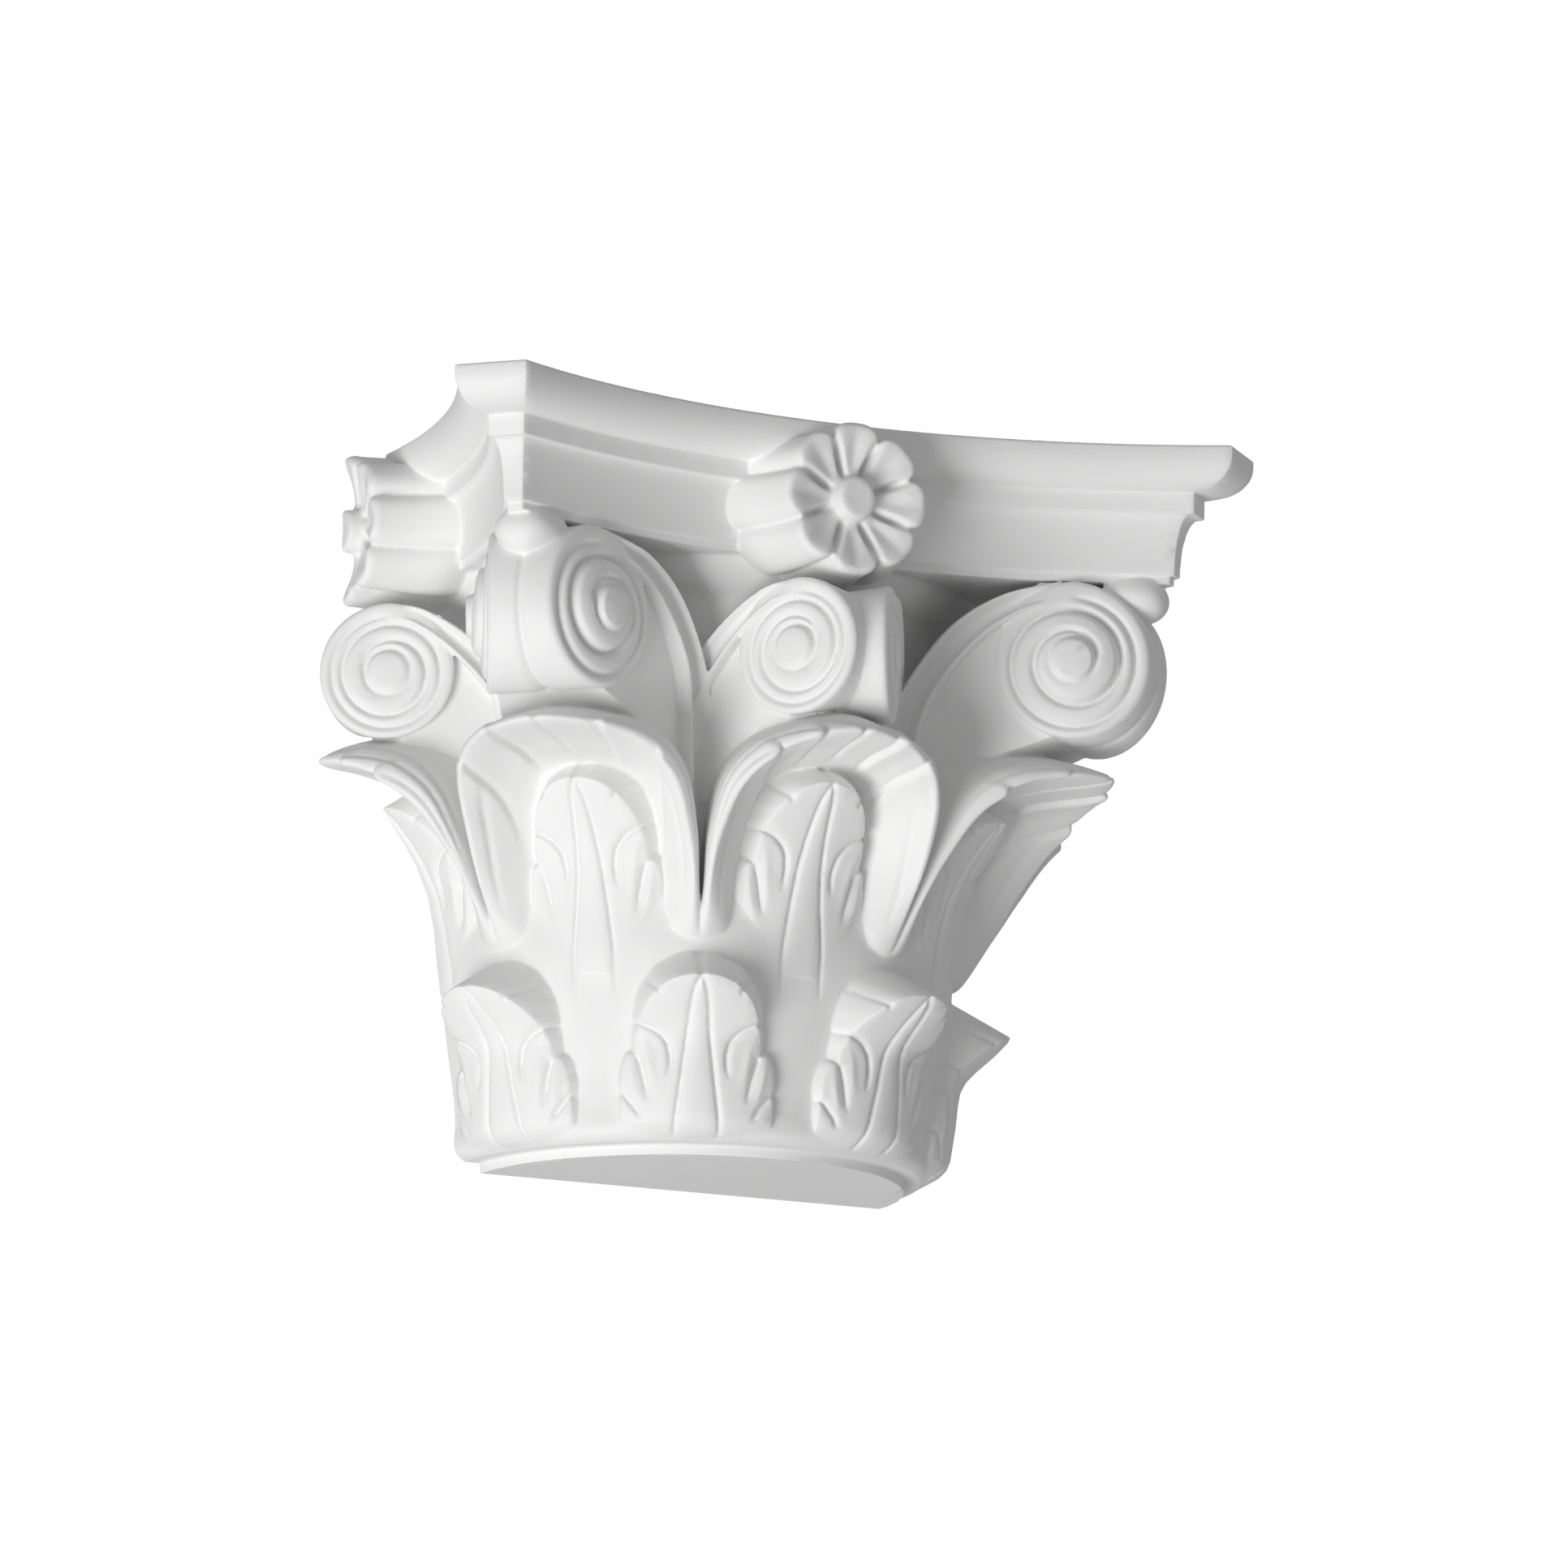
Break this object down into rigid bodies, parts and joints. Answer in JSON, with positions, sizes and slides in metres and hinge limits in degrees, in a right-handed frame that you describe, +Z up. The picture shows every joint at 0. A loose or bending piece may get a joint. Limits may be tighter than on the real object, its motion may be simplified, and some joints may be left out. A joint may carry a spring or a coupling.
{
  "type": "corinthian half capital",
  "caption": "Half-round corinthian capital with acanthus leaves, volutes and a hollow-sided abacus, flat at the back to stand against a wall on a half column.",
  "frame": {"origin": "centre of the bounding box's bottom: on the underside of the plug, midway between the wall plane and the abacus's front corners", "axes": "+Z up along the column's axis, +X along the wall, +Y into the wall, so the carved side faces -Y"},
  "size_m": [0.3296, 0.1648, 0.27],
  "materials": {
    "primed_white": "matt white factory primer on moulded polyurethane"
  },
  "bodies": {
    "root": {"capital": "primed_white"}
  },
  "joints": []
}
